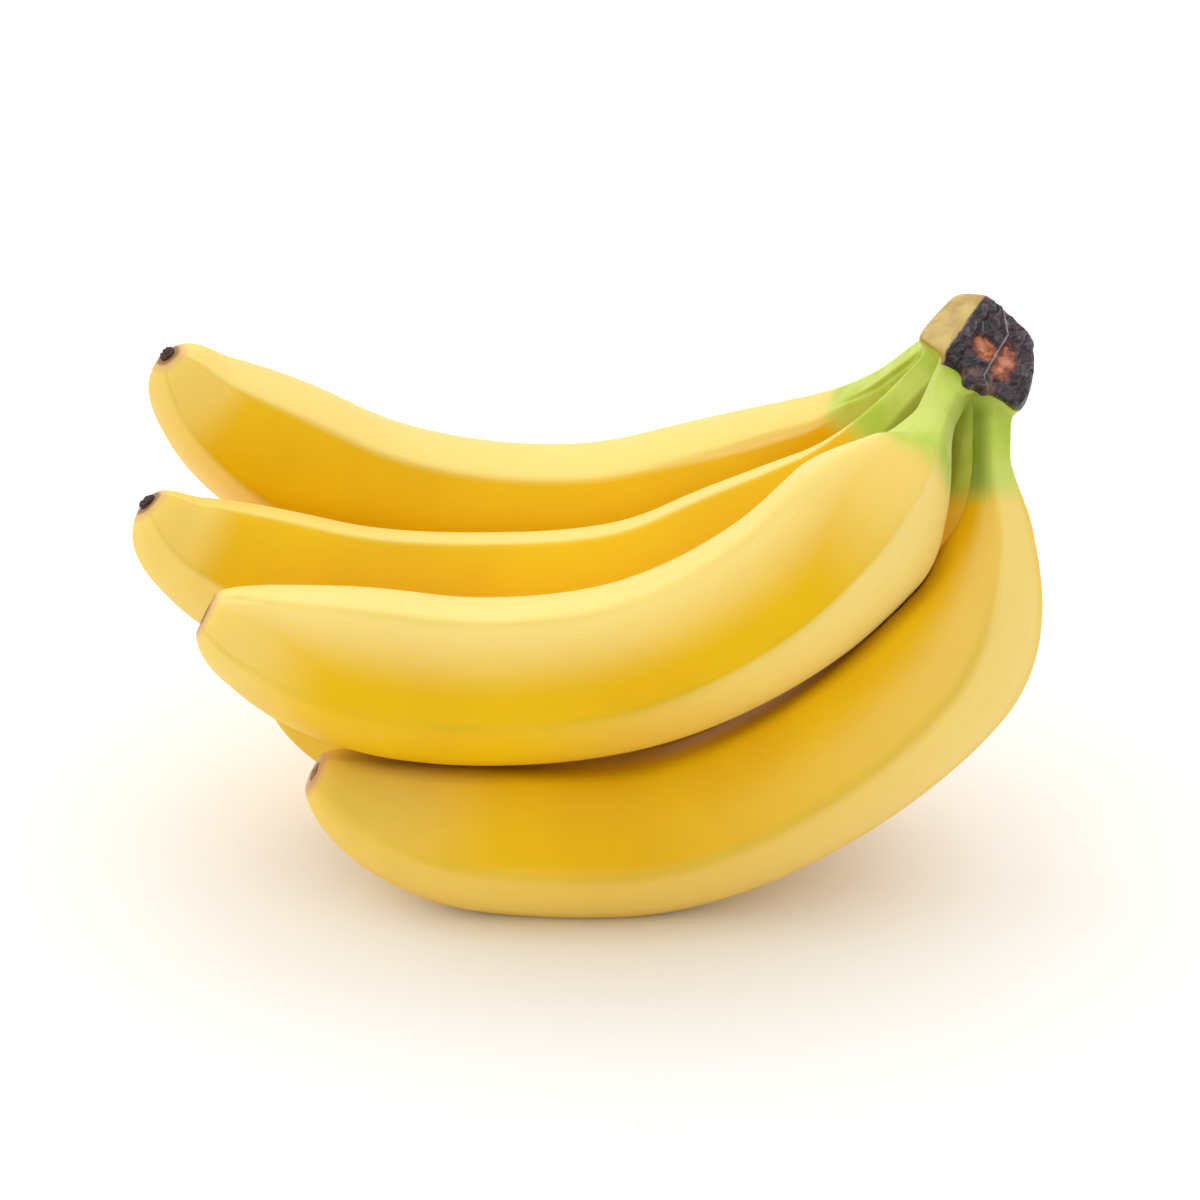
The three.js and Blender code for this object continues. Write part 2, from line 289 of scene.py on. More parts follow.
class Finger:
    """One banana: its middle line, and its radius at any distance along and angle round it."""

    def __init__(self, values):
        self.values = values
        self.name = values["name"]
        self.places, self.distances = spline(values["path"])
        self.length = self.distances[-1]
        tangents = np.gradient(self.places, self.distances, axis=0)
        self.tangents = tangents / np.linalg.norm(tangents, axis=1)[:, None]
        y = np.array([0.0, 1.0, 0.0])
        across = y - self.tangents * (self.tangents @ y)[:, None]
        self.acrosses = across / np.linalg.norm(across, axis=1)[:, None]
        self.outwards = np.cross(self.tangents, self.acrosses)
        self.angles = np.radians(np.arange(-180, 180, 0.5))
        self.flat = self.section(RIDGE_FLATNESS, values["rounding"])
        self.neck_flat = self.section(NECK_FLATNESS, NECK_ROUNDING)

    def section(self, flatness, rounding):
        """How far out the skin is round the section, 1 at a sharp ridge and less between ridges."""
        ridges = np.radians(self.values["ridges"])
        share = np.ones_like(self.angles)
        for i in range(5):
            low = ridges[i]
            high = ridges[i + 1] if i < 4 else ridges[0] + 2 * math.pi
            half = (high - low) / 2
            middle = (high + low) / 2
            off = np.mod(self.angles - middle + math.pi, 2 * math.pi) - math.pi
            inside = np.abs(off) <= half
            chord = math.cos(half) / np.cos(np.where(inside, off, 0))
            share = np.where(inside, 1 - flatness * (1 - chord), share)
        steps = np.arange(len(self.angles))
        steps = np.minimum(steps, len(steps) - steps) * 0.5
        kernel = np.exp(-0.5 * (steps / rounding) ** 2)
        kernel /= kernel.sum()
        return np.real(np.fft.ifft(np.fft.fft(share) * np.fft.fft(kernel)))

    def at(self, s):
        """Place, tangent, across and outward at the distances s."""
        return [np.stack([np.interp(s, self.distances, row[:, i]) for i in range(3)], -1)
                for row in (self.places, self.tangents, self.acrosses, self.outwards)]

    def radius(self, s):
        """The radius at a sharp ridge at distance s."""
        v = self.values
        to_tip = self.length - s
        grown = smoothstep(s, v["neck_end"], v["neck_end"] + v["swell"])
        full = v["neck"] + (v["girth"] - v["neck"]) * grown ** 0.8
        left = np.clip(to_tip / v["tip"], 0, 1)
        closed = np.maximum(1 - (1 - left) ** 2, 0) ** v["tip_power"]
        shoulder = v["shoulder"] * (1 - np.exp(-to_tip / SHOULDER_RISE))
        shoulder = shoulder * (1 - smoothstep(to_tip, *SHOULDER_ENDS))
        body = (full - v["end_radius"]) * np.where(s > self.length / 2, closed, 1)
        return v["end_radius"] + shoulder + body

    def skin(self, s, angle):
        """The radius at distance s and angle round the section."""
        turned = np.mod(angle + math.pi, 2 * math.pi) - math.pi
        body = np.interp(turned, self.angles, self.flat, period=2 * math.pi)
        neck = np.interp(turned, self.angles, self.neck_flat, period=2 * math.pi)
        radius = self.radius(s) * (neck + (body - neck) * smoothstep(s, *BODY_STARTS))
        if "pinch" in self.values:
            middle, half, end, depth = self.values["pinch"]
            off = np.abs(turned_by(angle, middle))
            here = smoothstep(s, *PINCH_STARTS) * (1 - smoothstep(s, end - PINCH_SOFT, end + PINCH_SOFT))
            radius = radius * (1 - depth * (1 - smoothstep(off, 0, half)) * here)
        if "crease" in self.values:
            along, angles = self.values["crease"]
            off = np.radians(np.degrees(angle) - np.interp(s, along, angles)) * radius
            starts = smoothstep(s, along[0] - 2, along[0] + 4)
            ends = 1 - smoothstep(s, along[-1] - 8, along[-1] + 1)
            radius = radius - CREASE_DEPTH * starts * ends * np.exp(-(off / CREASE_HALF_WIDTH) ** 2)
        if "dimple" in self.values:
            to_tip, middle, half_long, half_wide, depth = self.values["dimple"]
            off = np.radians(turned_by(angle, middle)) * radius
            long = (self.length - s - to_tip) / half_long
            radius = radius - depth * np.exp(-long ** 2 - (off / half_wide) ** 2)
        return radius

    def distance(self, points, taper_from=None, until=None, step=STATION_STEP):
        """Roughly how far the points are outside the skin, below 0 inside.

        taper_from is where the banana starts to taper off, for the crown's piece, and until is how
        far along it is looked at."""
        stations = np.arange(0, until or self.length, step)
        picks = np.searchsorted(self.distances, stations)
        near = np.empty(len(points), int)
        stops = self.places[picks]
        for start in range(0, len(points), 20000):
            block = points[start:start + 20000]
            gaps = (stops ** 2).sum(1) - 2 * block @ stops.T
            near[start:start + 20000] = picks[gaps.argmin(1)]
        s = self.distances[near] + ((points - self.places[near]) * self.tangents[near]).sum(1)
        place, tangent, across, outward = self.at(s)
        off = points - place
        a = (off * across).sum(1)
        b = (off * outward).sum(1)
        radius = self.skin(s, np.arctan2(a, b))
        if taper_from is not None:
            radius = radius - np.maximum(s - taper_from, 0) * CROWN_TAPER
        side = np.hypot(a, b) - radius
        beyond = np.abs((off * tangent).sum(1))
        past_end = np.hypot(np.maximum(side, 0), beyond) + np.minimum(side, 0)
        return np.where(beyond > 0.3, past_end, side)


FINGERS = [Finger(values) for values in BANANAS]
CROWN_UP = unit(CROWN["up"])
CROWN_ACROSS = unit(np.cross(CROWN["along"], CROWN_UP))
CROWN_ALONG = np.cross(CROWN_UP, CROWN_ACROSS)


def above(points, cut):
    """How far the points are above a cut's plane."""
    point, facing = cut
    return (points - np.array(point)) @ unit(facing)


def soft_max(a, b, soft):
    """The larger of two distances, rounded off where they differ by less than soft."""
    h = np.maximum(soft - np.abs(a - b), 0) / soft
    return np.maximum(a, b) + h * h * soft / 4


def ball_distance(points, ball):
    """How far the points are outside a ball."""
    middle, radius = ball
    return np.linalg.norm(points - np.array(middle), axis=1) - radius


def cushion_distance(points):
    """How far the points are outside the crown's cushion, before the cuts."""
    off = points - np.array(CROWN["base"])
    high = off @ CROWN_UP / CROWN["height"]
    power = CROWN["squareness"]
    wide = (np.abs(off @ CROWN_ACROSS / CROWN["half_width"]) ** power
            + np.abs(off @ CROWN_ALONG / CROWN["half_length"]) ** power) ** (1 / power)
    heights, radii = zip(*CROWN["profile"])
    side = (wide - np.interp(high, heights, radii)) * CROWN["side_scale"]
    ends = np.abs(high - 0.5) * CROWN["height"] - CROWN["height"] / 2
    flats = soft_max(above(points, UNDER_FLAT), above(points, LEFT_FLAT), CROWN["soft_flats"])
    return soft_max(soft_max(side, ends, CROWN["soft_ends"]), flats, CROWN["soft_sides"])


def cut_distance(points, joined):
    """The joined shape with the three cuts taken off it. Away from the crown they rise clear of it."""
    rise = CUT_RISE * np.maximum(np.linalg.norm(points - CUT_CENTRE, axis=1) - CUT_REACH, 0)
    for cut, soft in CUTS:
        joined = soft_max(joined, above(points, cut) - rise, soft)
    return joined


def joined_distance(points, taper=False, own=None, own_distance=None):
    """How far the points are outside the crown and stalks together, with soft valleys between them.

    taper is for the crown's own piece. own is a banana whose distance is known already."""
    from_crown = np.linalg.norm(points - np.array(CROWN["base"]), axis=1)
    join = JOIN * (1 - smoothstep(from_crown, *JOIN_FADES)) + 0.02
    flap = soft_max(ball_distance(points, FLAP), -ball_distance(points, FLAP_HOLLOW), 0.5)
    shapes = [cushion_distance(points), flap]
    for finger in FINGERS:
        if finger is own:
            shapes.append(own_distance)
        else:
            shapes.append(finger.distance(points, ROOT if taper else None, JOIN_FADES[1] + 20))
    shapes = np.array(shapes)
    nearest = shapes.min(0)
    total = np.exp(-np.minimum((shapes - nearest) / join, 50)).sum(0)
    joined = nearest - join * np.log(total)
    return cut_distance(points, joined)


def make_mesh(name, points, faces, material, node, values=None):
    """A piece from points in millimetres and faces, with named numbers stored for its material."""
    mesh = bpy.data.meshes.new(name)
    mesh.from_pydata((points * MM).tolist(), [], faces)
    mesh.polygons.foreach_set("use_smooth", [True] * len(mesh.polygons))
    for key, numbers in (values or {}).items():
        layer = mesh.attributes.new(key, "FLOAT", "POINT")
        layer.data.foreach_set("value", np.ascontiguousarray(numbers, np.float32))
    mesh.materials.append(material)
    mesh.validate()
    piece = bpy.data.objects.new(name, mesh)
    bpy.context.scene.collection.objects.link(piece)
    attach(piece, "root")
    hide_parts(node)
    return piece


def grid_faces(rows, columns):
    """Quads over rows of points that close round each row, with a fan to a middle point at each end."""
    faces = []
    for i in range(rows - 1):
        for j in range(columns):
            k = (j + 1) % columns
            faces.append((i * columns + j, i * columns + k, (i + 1) * columns + k, (i + 1) * columns + j))
    first = rows * columns
    last = first + 1
    top = (rows - 1) * columns
    faces += [(first, (j + 1) % columns, j) for j in range(columns)]
    faces += [(last, top + j, top + (j + 1) % columns) for j in range(columns)]
    return faces


def paleness(finger, s, angle):
    """From 0 to 1: how pale the peel is there: painted light on its faces lit from above and by the floor,
    partly their own paler colour, and its paler stretches at the ends.
    """
    degrees = np.degrees(angle)
    near_tip = smoothstep(s, STALK_SIDE, finger.length - TIP_SIDE)
    pale = np.zeros_like(s)
    for low, high, soft_low, soft_high, at_stalk, at_tip, wider in finger.values["pale"]:
        turned = np.mod(degrees - low + 90, 360) - 90
        wide = high - low + wider * (1 - smoothstep(s, *WIDER_ENDS))
        inside = (smoothstep(turned, -soft_low / 2, soft_low / 2)
                  * (1 - smoothstep(turned, wide - soft_high / 3, wide + soft_high)))
        pale = np.maximum(pale, inside * (at_stalk + (at_tip - at_stalk) * near_tip))
    for end, key in ((finger.length - s, "bloom"), (s, "bloom_at_stalk")):
        if key in finger.values:
            full, none, share = finger.values[key]
            pale = np.maximum(pale, share * (1 - smoothstep(end, full, none)))
    return pale


def on_ridge(finger, s, angle):
    """From 0 to 1: how near the skin is to the crest of a ridge."""
    near = np.zeros_like(s)
    for ridge in finger.values["ridges"]:
        near = np.maximum(near, np.exp(-(turned_by(angle, ridge) / 4) ** 2))
    return near * smoothstep(s, 30, 60)


def push_to_join(finger, points, direction, s):
    """How far each point has to move outwards for the peel to meet the crown and the other stalks."""
    push = np.zeros(len(s))
    sunk = np.maximum(ROOT - s, 0) * ROOT_SINKS
    for _ in range(5):
        moved = points + direction * push[:, None]
        covered = COVER_DEPTH * (1 - smoothstep(-above(moved, DARK_CUT), *COVER_ENDS))
        push -= np.clip(joined_distance(moved, own=finger, own_distance=push) + sunk + covered, -1, 1)
    return np.clip(push, *PUSH_LIMITS) * (1 - smoothstep(s, *PUSH_FADES))


def press_in(points, direction, between, other):
    """Moves the points between the stalk and the tip in until they clear the other banana."""
    for _ in range(8):
        inside = np.maximum(GAP - other.distance(points[between], step=FINE_STEP), 0)
        points[between] -= direction[between] * inside[:, None]


def stalk_shade(finger, points, direction, s):
    """From 0 to 1: how much painted shade a stalk gets between the others and, low in the bunch, on its
    inner side; between the others it is partly the stalks' own deeper green.
    """
    v = finger.values
    apart = joined_distance(points, own=finger, own_distance=np.full(len(s), 99.0))
    deep = np.maximum(1 - smoothstep(apart, *TIGHT), v["shade"] * (1 - smoothstep(apart, *WIDE)))
    shade = deep * smoothstep(s, *SHADE_STARTS)
    if "inner_shade" in v:
        inner = v["inner_shade"] * smoothstep(-direction[:, 0], -0.3, 0.9)
        shade = np.maximum(shade, inner * smoothstep(s, *INNER_STARTS))
    return shade


def finger_mesh(finger, material):
    """One banana's peel, stalk and all, as a closed skin."""
    u = np.linspace(0, 1, ALONG)
    share_along = u + 0.09 * np.sin(2 * np.pi * u) / np.pi
    s = PEEL_START + (finger.length - PEEL_START) * share_along
    place, _, across, outward = finger.at(s)
    along, around = np.meshgrid(s, np.linspace(-math.pi, math.pi, AROUND, endpoint=False), indexing="ij")
    direction = across[:, None] * np.sin(around)[..., None] + outward[:, None] * np.cos(around)[..., None]
    radius = finger.skin(along.ravel(), around.ravel()).reshape(along.shape)
    points = (place[:, None] + direction * radius[..., None]).reshape(-1, 3)
    direction = direction.reshape(-1, 3)
    along, around = along.ravel(), around.ravel()
    near = along < JOIN_FADES[1] + 8
    push = push_to_join(finger, points[near], direction[near], along[near])
    points[near] += direction[near] * push[:, None]
    other = next((f for f in FINGERS if f.name == finger.values.get("pressed_by")), None)
    if other:
        press_in(points, direction, (along > 12) & (along < finger.length - 1), other)
    points[:, 2] = np.maximum(points[:, 2], 0)
    # A painted shadow where the banana that lies on this one presses it.
    painted_contact_shadow = np.zeros(len(points))
    if other:
        apart = other.distance(points, step=FINE_STEP)
        painted_contact_shadow = (1 - smoothstep(apart, GAP, CONTACT_ENDS)) * smoothstep(along, *CONTACT_STARTS)
    # Painted shade on the stalks, partly their own deeper green, between the others and on the inner side.
    deep_green_and_painted_shade = np.zeros(len(points))
    deep_green_and_painted_shade[near] = stalk_shade(finger, points[near], direction[near], along[near])
    values = {
        "along": along, "around": around, "to_tip": finger.length - along,
        "deep_green_and_painted_shade": deep_green_and_painted_shade, "painted_contact_shadow": painted_contact_shadow,
        "pale": paleness(finger, along, around), "ridge": on_ridge(finger, along, around),
    }
    middles = {"along": [PEEL_START, finger.length], "to_tip": [finger.length - PEEL_START, 0]}
    values = {key: np.concatenate([numbers, middles.get(key, [0, 0])]) for key, numbers in values.items()}
    points = np.vstack([points, place[0], place[-1]])
    faces = grid_faces(ALONG, AROUND)
    node = "banana_" + finger.name
    return make_mesh("skin_" + finger.name, points, faces, material, node, values)


def blossom_mesh(finger, material):
    """The dried end of the flower: a short, ragged stub with a sunken end."""
    v = finger.values
    depth = 1.0
    side_share = 0.55
    place, tangent, across, outward = (row[0] for row in finger.at(np.array([finger.length])))
    points = []
    for i in range(TIP_RINGS):
        t = i / (TIP_RINGS - 1)
        side = min(t / side_share, 1)
        dish = max(t - side_share, 0) / 0.45
        for turn in np.linspace(-math.pi, math.pi, TIP_SIDES, endpoint=False):
            spot = Vector((math.cos(turn), math.sin(turn), 0.6 * side)) * 1.7 + Vector((v["seed"], 0, dish))
            ragged = noise.fractal(spot, 1.0, 2.0, 3)
            radius = v["scar_radius"] * (1 - 0.1 * side ** 3 + 0.14 * ragged * side) * (1 - dish * 0.97)
            top = v["nub"] * (1 + 0.45 * ragged) * (1 - 0.55 * dish)
            high = -depth + (depth + top) * side
            out = across * math.sin(turn) + outward * math.cos(turn)
            points.append(place + tangent * high + out * radius)
    points += [place - tangent * depth, place + tangent * v["nub"] * 0.45]
    faces = grid_faces(TIP_RINGS, TIP_SIDES)
    node = "blossom_end_" + finger.name
    return make_mesh("dried_tip_" + finger.name, np.array(points), faces, material, node)


def ridged_noise(across, up, level, lacunarity, octaves):
    """Sharp crests of noise at the points of a plane, with mean 0 and standard deviation 1."""
    found = np.array([
        noise.ridged_multi_fractal(Vector((a, b, level)), 1.0, lacunarity, octaves, 1.0, 2.0)
        for a, b in zip(across, up)
    ])
    return (found - found.mean()) / (found.std() + 1e-6)


def dark_relief(points, side, front):
    """The dark cut's cores, pale seam and streaks, from 0 to 1, and its height in millimetres."""
    off = points - DARK_MIDDLE
    u, v = off @ side, off @ front
    wander = np.array([noise.noise(Vector((a * 0.5, b * 0.5, 7.0))) for a, b in zip(u, v)])
    core = np.zeros(len(points))
    for (middle_u, middle_v), (half_u, half_v), turn in CORES:
        c, s = math.cos(math.radians(turn)), math.sin(math.radians(turn))
        du, dv = u - middle_u, v - middle_v
        away = np.hypot((du * c + dv * s) / half_u, (dv * c - du * s) / half_v)
        core = np.maximum(core, 1 - smoothstep(away + wander * 0.3, 0.1, 1.15))
    near = np.full(len(points), 99.0)
    for (a, b), (c, d) in zip(SEAM, SEAM[1:]):
        length = (c - a) ** 2 + (d - b) ** 2
        share = np.clip(((u - a) * (c - a) + (v - b) * (d - b)) / length, 0, 1)
        near = np.minimum(near, np.hypot(u - a - share * (c - a), v - b - share * (d - b)))
    seam = np.exp(-((near + wander * 0.2) / SEAM_HALF_WIDTH) ** 2)
    lengthways = (u * FOLDS_RIGHT + v * FOLDS_UP) * 0.11 + wander * 0.3
    crossways = (v * FOLDS_RIGHT - u * FOLDS_UP) * 0.34 + wander * 0.5
    folds = ridged_noise(lengthways, crossways, 2.0, 2.1, 4)
    streaks = ridged_noise(lengthways * 2.2, crossways * 2.8, 9.0, 2.2, 3)
    relief = FOLD_HEIGHT * np.clip(folds, -2, 2) + STREAK_HEIGHT * np.clip(streaks, -2, 2)
    relief = relief * (1 - 0.4 * core) - CORE_DEPTH * core + SEAM_HEIGHT * seam - CUT_SINKS
    # The third value, high on the crests of the streaks and folds and higher towards the right, sets where
    # the cut gets painted highlights and painted shade.
    return core, seam, np.clip(0.42 + 0.2 * streaks + 0.1 * folds + 0.014 * u, 0, 1), relief


def crown_mesh(material):
    """The crown with the stalks' roots and its cuts, found along rays from a point inside it."""
    pole = unit(DARK_CUT[1])
    side = unit(np.cross([0, 0, 1], pole))
    front = np.cross(pole, side)
    centre = DARK_MIDDLE - pole * 9
    u = np.linspace(0, 1, CROWN_RINGS + 2)[1:-1]
    from_pole = np.pi * (0.6 * u + 0.4 * u ** 2)
    turn = np.linspace(-math.pi, math.pi, CROWN_SIDES, endpoint=False)
    from_pole, turn = np.meshgrid(from_pole, turn, indexing="ij")
    rays = (pole * np.cos(from_pole)[..., None] + side * (np.sin(from_pole) * np.cos(turn))[..., None]
            + front * (np.sin(from_pole) * np.sin(turn))[..., None]).reshape(-1, 3)
    rays = np.vstack([rays, pole, -pole])
    reach = np.full(len(rays), 8.0)
    for _ in range(14):
        inside = -joined_distance(centre + rays * reach[:, None], taper=True)
        reach = np.clip(reach + np.clip(inside, -3, 3) * 0.85, 1, 36)
    points = centre + rays * reach[:, None]
    under_dark = -above(points, DARK_CUT)
    under_dry = np.minimum(-above(points, DRY_CUT), -above(points, BACK_CUT) + 1)
    ragged = np.array([noise.fractal(Vector(q) * 0.45, 1.0, 2.0, 3) for q in points])
    depth = np.minimum(under_dark - DARK_DEEPER, under_dry) + ragged * RAGGED
    withered = 1 - smoothstep(depth, *WITHERED_ENDS)
    flap = 1 - smoothstep(ball_distance(points, FLAP) + ragged * 0.4, 0.9, 1.5)
    darker = smoothstep(under_dry - under_dark + ragged * 0.2, -0.2, 0.2)
    dark = np.maximum(withered * darker, flap)
    rim = np.exp(-((depth - 2.4) / 0.5) ** 2) * (1 - flap)
    rim = np.maximum(rim, 0.5 * withered * smoothstep(depth, 0.6, 2.2))
    core, seam, streaks, relief = dark_relief(points, side, front)
    on_cut = dark * (1 - smoothstep(under_dark, 1.2, 3))
    off_border = smoothstep(under_dry - under_dark, 0, 1.5)
    points += pole * (relief * on_cut * off_border)[:, None]
    values = {
        "dark": dark, "dry": withered, "rim": rim, "flap": flap,
        "core": core * on_cut, "seam": seam * on_cut, "streaks": streaks,
        "hollow": (1 - smoothstep(ball_distance(points, FLAP_HOLLOW), -0.1, 0.5)) * flap,
    }
    faces = grid_faces(CROWN_RINGS, CROWN_SIDES)
    return make_mesh("joined_stalks", points, faces, material, "crown", values)


class Nodes:
    """Short ways to add nodes to one material."""

    def __init__(self, name):
        self.material = bpy.data.materials.new(name)
        self.material.use_nodes = True
        self.tree = self.material.node_tree
        self.shader = self.tree.nodes["Principled BSDF"]

    def add(self, kind, inputs=None, **settings):
        node = self.tree.nodes.new(kind)
        for key, value in settings.items():
            setattr(node, key, value)
        for key, value in (inputs or {}).items():
            if isinstance(value, bpy.types.NodeSocket):
                self.tree.links.new(value, node.inputs[key])
            else:
                node.inputs[key].default_value = value
        return node

    def math(self, operation, a, b):
        return self.add("ShaderNodeMath", {0: a, 1: b}, operation=operation).outputs[0]

    def ramp(self, value, low, high, out_low=0.0, out_high=1.0):
        inputs = {"Value": value, "From Min": low, "From Max": high, "To Min": out_low, "To Max": out_high}
        return self.add("ShaderNodeMapRange", inputs, interpolation_type="SMOOTHSTEP").outputs[0]

    def attribute(self, name):
        return self.add("ShaderNodeAttribute", attribute_name=name).outputs["Fac"]

    def mix(self, share, a, b):
        """Colour a where share is 0 and colour b where it is 1."""
        node = self.add("ShaderNodeMix", data_type="RGBA")
        for socket, value in ((node.inputs[0], share), (node.inputs[6], a), (node.inputs[7], b)):
            if isinstance(value, bpy.types.NodeSocket):
                self.tree.links.new(value, socket)
            else:
                socket.default_value = value
        return node.outputs[2]

    def noise(self, scale, detail=3.0, rough=0.5, vector=None):
        coords = vector or self.add("ShaderNodeTexCoord").outputs["Object"]
        inputs = {"Vector": coords, "Scale": scale, "Detail": detail, "Roughness": rough}
        return self.add("ShaderNodeTexNoise", inputs).outputs["Fac"]

    def set(self, **values):
        """Sets or links sockets of the shader, named with _ for each space."""
        for key, value in values.items():
            socket = self.shader.inputs[key.replace("_", " ")]
            if isinstance(value, bpy.types.NodeSocket):
                self.tree.links.new(value, socket)
            else:
                socket.default_value = value

    def bump(self, height, strength, distance):
        node = self.add("ShaderNodeBump", {"Height": height, "Strength": strength, "Distance": distance})
        self.tree.links.new(node.outputs[0], self.shader.inputs["Normal"])


def colour(red, green, blue):
    """A colour from screen values of 0 to 255."""
    def linear(c):
        c /= 255
        return c / 12.92 if c < 0.04045 else ((c + 0.055) / 1.055) ** 2.4
    return (linear(red), linear(green), linear(blue), 1.0)


YELLOW = colour(243, 194, 0)
GOLD = colour(234, 181, 0)
CREAM = colour(253, 226, 136)
LIME = colour(208, 221, 108)
LEAF = colour(182, 204, 66)
OLIVE = colour(196, 178, 24)
SHADED_GREEN = colour(84, 106, 4)
# The colour of the painted shadow under a banana that lies on another.
PAINTED_SHADOW_BROWN = colour(122, 66, 0)
TIP_BUFF = colour(222, 170, 118)
TIP_BROWN = colour(128, 84, 52)


def stalk_green(n):
    """The patchy green of the stalks, which the crown shares."""
    patch = n.noise(90, 3, 0.5)
    return n.mix(n.ramp(patch, 0.35, 0.7), LIME, LEAF)


def peel_material(finger):
    """Peel: yellow with fibres and paler faces that are mostly painted light, green stalk with painted
    shade, a painted shadow under the banana above, olive and brown towards the tip.
    """
    v = finger.values
    n = Nodes("peel_" + finger.name)
    along = n.attribute("along")
    to_tip = n.attribute("to_tip")
    blotch = n.noise(22, 3, 0.55)
    fibre_at = n.add("ShaderNodeCombineXYZ", {
        0: n.math("MULTIPLY", along, 0.02), 1: n.math("MULTIPLY", n.attribute("around"), 9.0), 2: v["seed"],
    }).outputs[0]
    fibre = n.noise(3.0, 3, 0.6, vector=fibre_at)
    base = n.mix(n.ramp(blotch, 0.35, 0.7), YELLOW, GOLD)
    base = n.mix(n.ramp(fibre, 0.5, 0.8, 0, 0.25), base, GOLD)
    # Painted light: cream on the faces lit from above and by the floor, partly their own paler colour, and
    # on the paler stretches at the ends.
    base = n.mix(n.math("MULTIPLY", n.attribute("pale"), n.ramp(fibre, 0.2, 0.8, 1, 0.8)), base, CREAM)
    wander = n.math("ADD", along, n.math("MULTIPLY", n.math("SUBTRACT", fibre, 0.5), 4.0))
    green = n.ramp(wander, v["green"] - 3, v["green"] + 3.5, 1, 0)
    olive = n.math("MULTIPLY", n.ramp(to_tip, 4, 45, v["olive"], 0), n.ramp(blotch, 0.4, 0.65))
    on_ridge = n.math("MULTIPLY", n.attribute("ridge"), n.ramp(blotch, 0.3, 0.6, 0.1, 0.3))
    base = n.mix(n.math("MAXIMUM", olive, on_ridge), base, OLIVE)
    if "pressed_by" in v:
        # Painted shadow where the banana above lies on this one.
        base = n.mix(n.math("MULTIPLY", n.attribute("painted_contact_shadow"), 0.7), base, PAINTED_SHADOW_BROWN)
    base = n.mix(green, base, stalk_green(n))
    # Painted shade, partly the stalks' own deeper green, between the stalks and on their inner side.
    base = n.mix(n.math("MULTIPLY", n.attribute("deep_green_and_painted_shade"), green), base, SHADED_GREEN)
    base = n.mix(n.ramp(to_tip, 0.3, 1.5, 0.65, 0), base, TIP_BUFF)
    base = n.mix(n.ramp(to_tip, 0.0, 0.45, v["end_brown"], 0), base, TIP_BROWN)
    n.set(Base_Color=base, Roughness=0.42, Subsurface_Weight=0.1, Subsurface_Scale=0.003)
    n.shader.inputs["Subsurface Radius"].default_value = (1.0, 0.6, 0.1)
    n.shader.inputs["Specular IOR Level"].default_value = 0.18
    n.bump(n.noise(900, 2, 0.5), 0.12, 0.0002)
    return n.material


def crown_material():
    """Green flesh with a tan dry face, and the dark cut with its two cores, seam and streaks, with painted
    highlights and shade on the streaks and painted shade in the flap's hollow.
    """
    n = Nodes("crown_cut")
    fine = n.noise(700, 4, 0.6)
    broad = n.noise(230, 3, 0.55)
    core = n.attribute("core")
    streaks = n.attribute("streaks")
    tan = n.mix(n.ramp(broad, 0.3, 0.7), colour(207, 180, 104), colour(184, 150, 82))
    base = n.mix(n.attribute("dry"), stalk_green(n), tan)
    base = n.mix(n.math("MULTIPLY", n.attribute("rim"), 0.85), base, colour(148, 104, 58))
    flesh = n.mix(n.ramp(n.noise(420, 3, 0.6), 0.35, 0.62), colour(132, 58, 36), colour(206, 116, 66))
    flesh = n.mix(n.ramp(core, 0.8, 1.0, 0, 0.5), flesh, colour(228, 158, 112))
    skin = n.mix(n.ramp(broad, 0.35, 0.65), colour(32, 22, 30), colour(60, 42, 52))
    skin = n.mix(n.ramp(core, 0.02, 0.35, 0, 0.75), skin, colour(88, 38, 34))
    skin = n.mix(n.ramp(core, 0.3, 0.75), skin, flesh)
    outside_core = n.ramp(core, 0.3, 1.0, 1.0, 0.45)
    # Painted highlights on the crests of the streaks and folds, and painted shade in their hollows.
    painted_streak_highlights = n.math("MULTIPLY", n.ramp(streaks, 0.5, 1.0, 0, 0.65), outside_core)
    painted_streak_shade = n.math("MULTIPLY", n.ramp(streaks, 0.0, 0.4, 0.8, 0), outside_core)
    skin = n.mix(painted_streak_highlights, skin, colour(128, 114, 124))
    skin = n.mix(painted_streak_shade, skin, colour(22, 12, 14))
    skin = n.mix(n.ramp(n.attribute("seam"), 0.35, 0.95, 0, 0.7), skin, colour(158, 148, 152))
    specks = n.math("MULTIPLY", n.ramp(n.noise(1500, 3, 0.7), 0.62, 0.72), 0.5)
    skin = n.mix(specks, skin, colour(150, 138, 146))
    flap = n.math("MULTIPLY", n.attribute("flap"), n.ramp(broad, 0.4, 0.6, 0, 0.6))
    skin = n.mix(flap, skin, colour(122, 92, 70))
    # Painted shade: near black in the hollow of the flap.
    skin = n.mix(n.attribute("hollow"), skin, colour(18, 12, 12))
    base = n.mix(n.attribute("dark"), base, skin)
    n.set(Base_Color=base, Roughness=n.ramp(n.attribute("dark"), 0, 1, 0.5, 0.34))
    n.shader.inputs["Specular IOR Level"].default_value = 0.35
    n.bump(fine, 0.4, 0.0005)
    return n.material


def dried_material(name, darkest, lightest):
    """Dry, rough flower tissue."""
    n = Nodes(name)
    fine = n.noise(900, 4, 0.6)
    n.set(Base_Color=n.mix(n.ramp(fine, 0.35, 0.7), darkest, lightest), Roughness=0.75)
    n.bump(fine, 0.6, 0.0004)
    return n.material


def floor():
    """A wide plain floor."""
    mesh = bpy.data.meshes.new("floor")
    corners = [(x * FLOOR_HALF, y * FLOOR_HALF, 0) for x, y in ((-1, -1), (1, -1), (1, 1), (-1, 1))]
    mesh.from_pydata(corners, [], [(0, 1, 2, 3)])
    n = Nodes("pale_floor")
    n.set(Base_Color=(0.98, 0.98, 0.98, 1), Roughness=0.9)
    n.shader.inputs["Specular IOR Level"].default_value = 0.1
    mesh.materials.append(n.material)
    plane = bpy.data.objects.new("floor", mesh)
    bpy.context.scene.collection.objects.link(plane)


